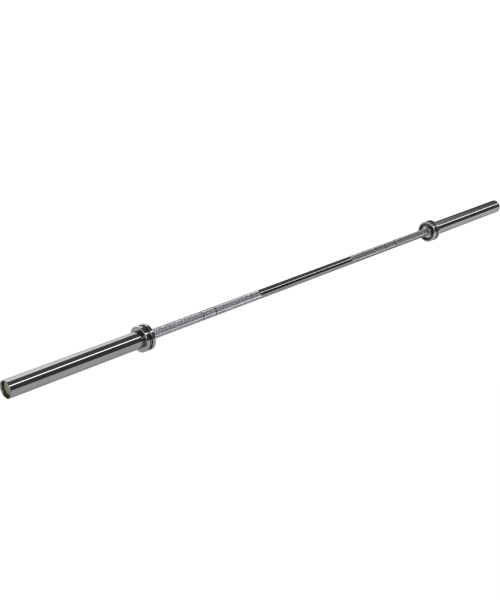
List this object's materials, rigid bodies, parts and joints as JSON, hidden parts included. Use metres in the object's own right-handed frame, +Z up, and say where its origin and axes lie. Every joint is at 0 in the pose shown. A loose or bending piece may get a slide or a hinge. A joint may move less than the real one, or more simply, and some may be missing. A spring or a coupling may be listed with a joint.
{
  "type": "olympic barbell",
  "caption": "Olympic barbell: a steel bar with knurled grip bands and ring marks, and at each end a freely turning plate sleeve behind a grooved collar.",
  "frame": {"origin": "middle of the bar, on its axis", "axes": "+X along the bar towards the right-hand sleeve, +Z up, +Y away from the lifter"},
  "size_m": [2.22, 0.076, 0.076],
  "materials": {
    "bar_steel": "satin hard chrome on the knurled bands, polished in the middle",
    "sleeve_chrome": "polished chrome plate",
    "collar_chrome": "polished chrome plate",
    "bushing_steel": "ground steel flange",
    "bushing_bronze": "plain bearing bronze",
    "washer_bronze": "dull bearing bronze",
    "washer_steel": "bare steel",
    "ring_steel": "blackened spring steel",
    "cap_plastic": "olive green moulded plastic"
  },
  "bodies": {
    "bar": {"shaft": "bar_steel", "left_inner_thrust_washer": "washer_bronze", "left_outer_thrust_washer": "washer_bronze", "left_retainer_washer": "washer_steel", "left_shaft_snap_ring": "ring_steel", "right_inner_thrust_washer": "washer_bronze", "right_outer_thrust_washer": "washer_bronze", "right_retainer_washer": "washer_steel", "right_shaft_snap_ring": "ring_steel"},
    "left_sleeve_unit": {"left_sleeve": "sleeve_chrome", "left_collar": "collar_chrome", "left_inner_bushing": "bushing_steel", "left_outer_bushing": "bushing_bronze", "left_end_cap": "cap_plastic", "left_cap_snap_ring": "ring_steel"},
    "right_sleeve_unit": {"right_sleeve": "sleeve_chrome", "right_collar": "collar_chrome", "right_inner_bushing": "bushing_steel", "right_outer_bushing": "bushing_bronze", "right_end_cap": "cap_plastic", "right_cap_snap_ring": "ring_steel"}
  },
  "joints": [
    {"name": "left_sleeve_spin", "type": "hinge", "parent": "bar", "child": "left_sleeve_unit", "pos_m": [-0.88, 0, 0], "axis": [1, 0, 0], "continuous": true},
    {"name": "right_sleeve_spin", "type": "hinge", "parent": "bar", "child": "right_sleeve_unit", "pos_m": [0.88, 0, 0], "axis": [1, 0, 0], "continuous": true}
  ]
}
